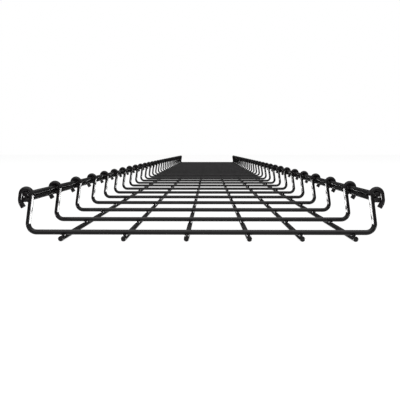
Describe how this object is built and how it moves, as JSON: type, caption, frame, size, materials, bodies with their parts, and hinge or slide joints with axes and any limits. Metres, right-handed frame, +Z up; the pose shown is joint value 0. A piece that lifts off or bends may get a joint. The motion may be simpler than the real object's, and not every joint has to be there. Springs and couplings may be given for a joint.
{
  "type": "wire mesh cable basket",
  "caption": "Long welded wire tray with a mesh floor, low upright sides and hooked wire ends round double top rails, for carrying cables.",
  "frame": {"origin": "middle of the length and width, on the underside of the floor wires", "axes": "+X across the tray, +Y along its length, +Z up out of its open top"},
  "size_m": [0.3126, 3.02, 0.0462],
  "materials": {
    "black_coated_wire": "glossy black powder coat"
  },
  "bodies": {
    "root": {"cross_wire_01": "black_coated_wire", "cross_wire_02": "black_coated_wire", "cross_wire_03": "black_coated_wire", "cross_wire_04": "black_coated_wire", "cross_wire_05": "black_coated_wire", "cross_wire_06": "black_coated_wire", "cross_wire_07": "black_coated_wire", "cross_wire_08": "black_coated_wire", "cross_wire_09": "black_coated_wire", "cross_wire_10": "black_coated_wire", "cross_wire_11": "black_coated_wire", "cross_wire_12": "black_coated_wire", "cross_wire_13": "black_coated_wire", "cross_wire_14": "black_coated_wire", "cross_wire_15": "black_coated_wire", "cross_wire_16": "black_coated_wire", "cross_wire_17": "black_coated_wire", "cross_wire_18": "black_coated_wire", "cross_wire_19": "black_coated_wire", "cross_wire_20": "black_coated_wire", "cross_wire_21": "black_coated_wire", "cross_wire_22": "black_coated_wire", "cross_wire_23": "black_coated_wire", "cross_wire_24": "black_coated_wire", "cross_wire_25": "black_coated_wire", "cross_wire_26": "black_coated_wire", "cross_wire_27": "black_coated_wire", "cross_wire_28": "black_coated_wire", "cross_wire_29": "black_coated_wire", "cross_wire_30": "black_coated_wire", "cross_wire_31": "black_coated_wire", "floor_wire_1": "black_coated_wire", "floor_wire_2": "black_coated_wire", "floor_wire_3": "black_coated_wire", "floor_wire_4": "black_coated_wire", "floor_wire_5": "black_coated_wire", "floor_wire_6": "black_coated_wire", "left_upper_rail_wire": "black_coated_wire", "left_lower_rail_wire": "black_coated_wire", "right_upper_rail_wire": "black_coated_wire", "right_lower_rail_wire": "black_coated_wire"}
  },
  "joints": []
}
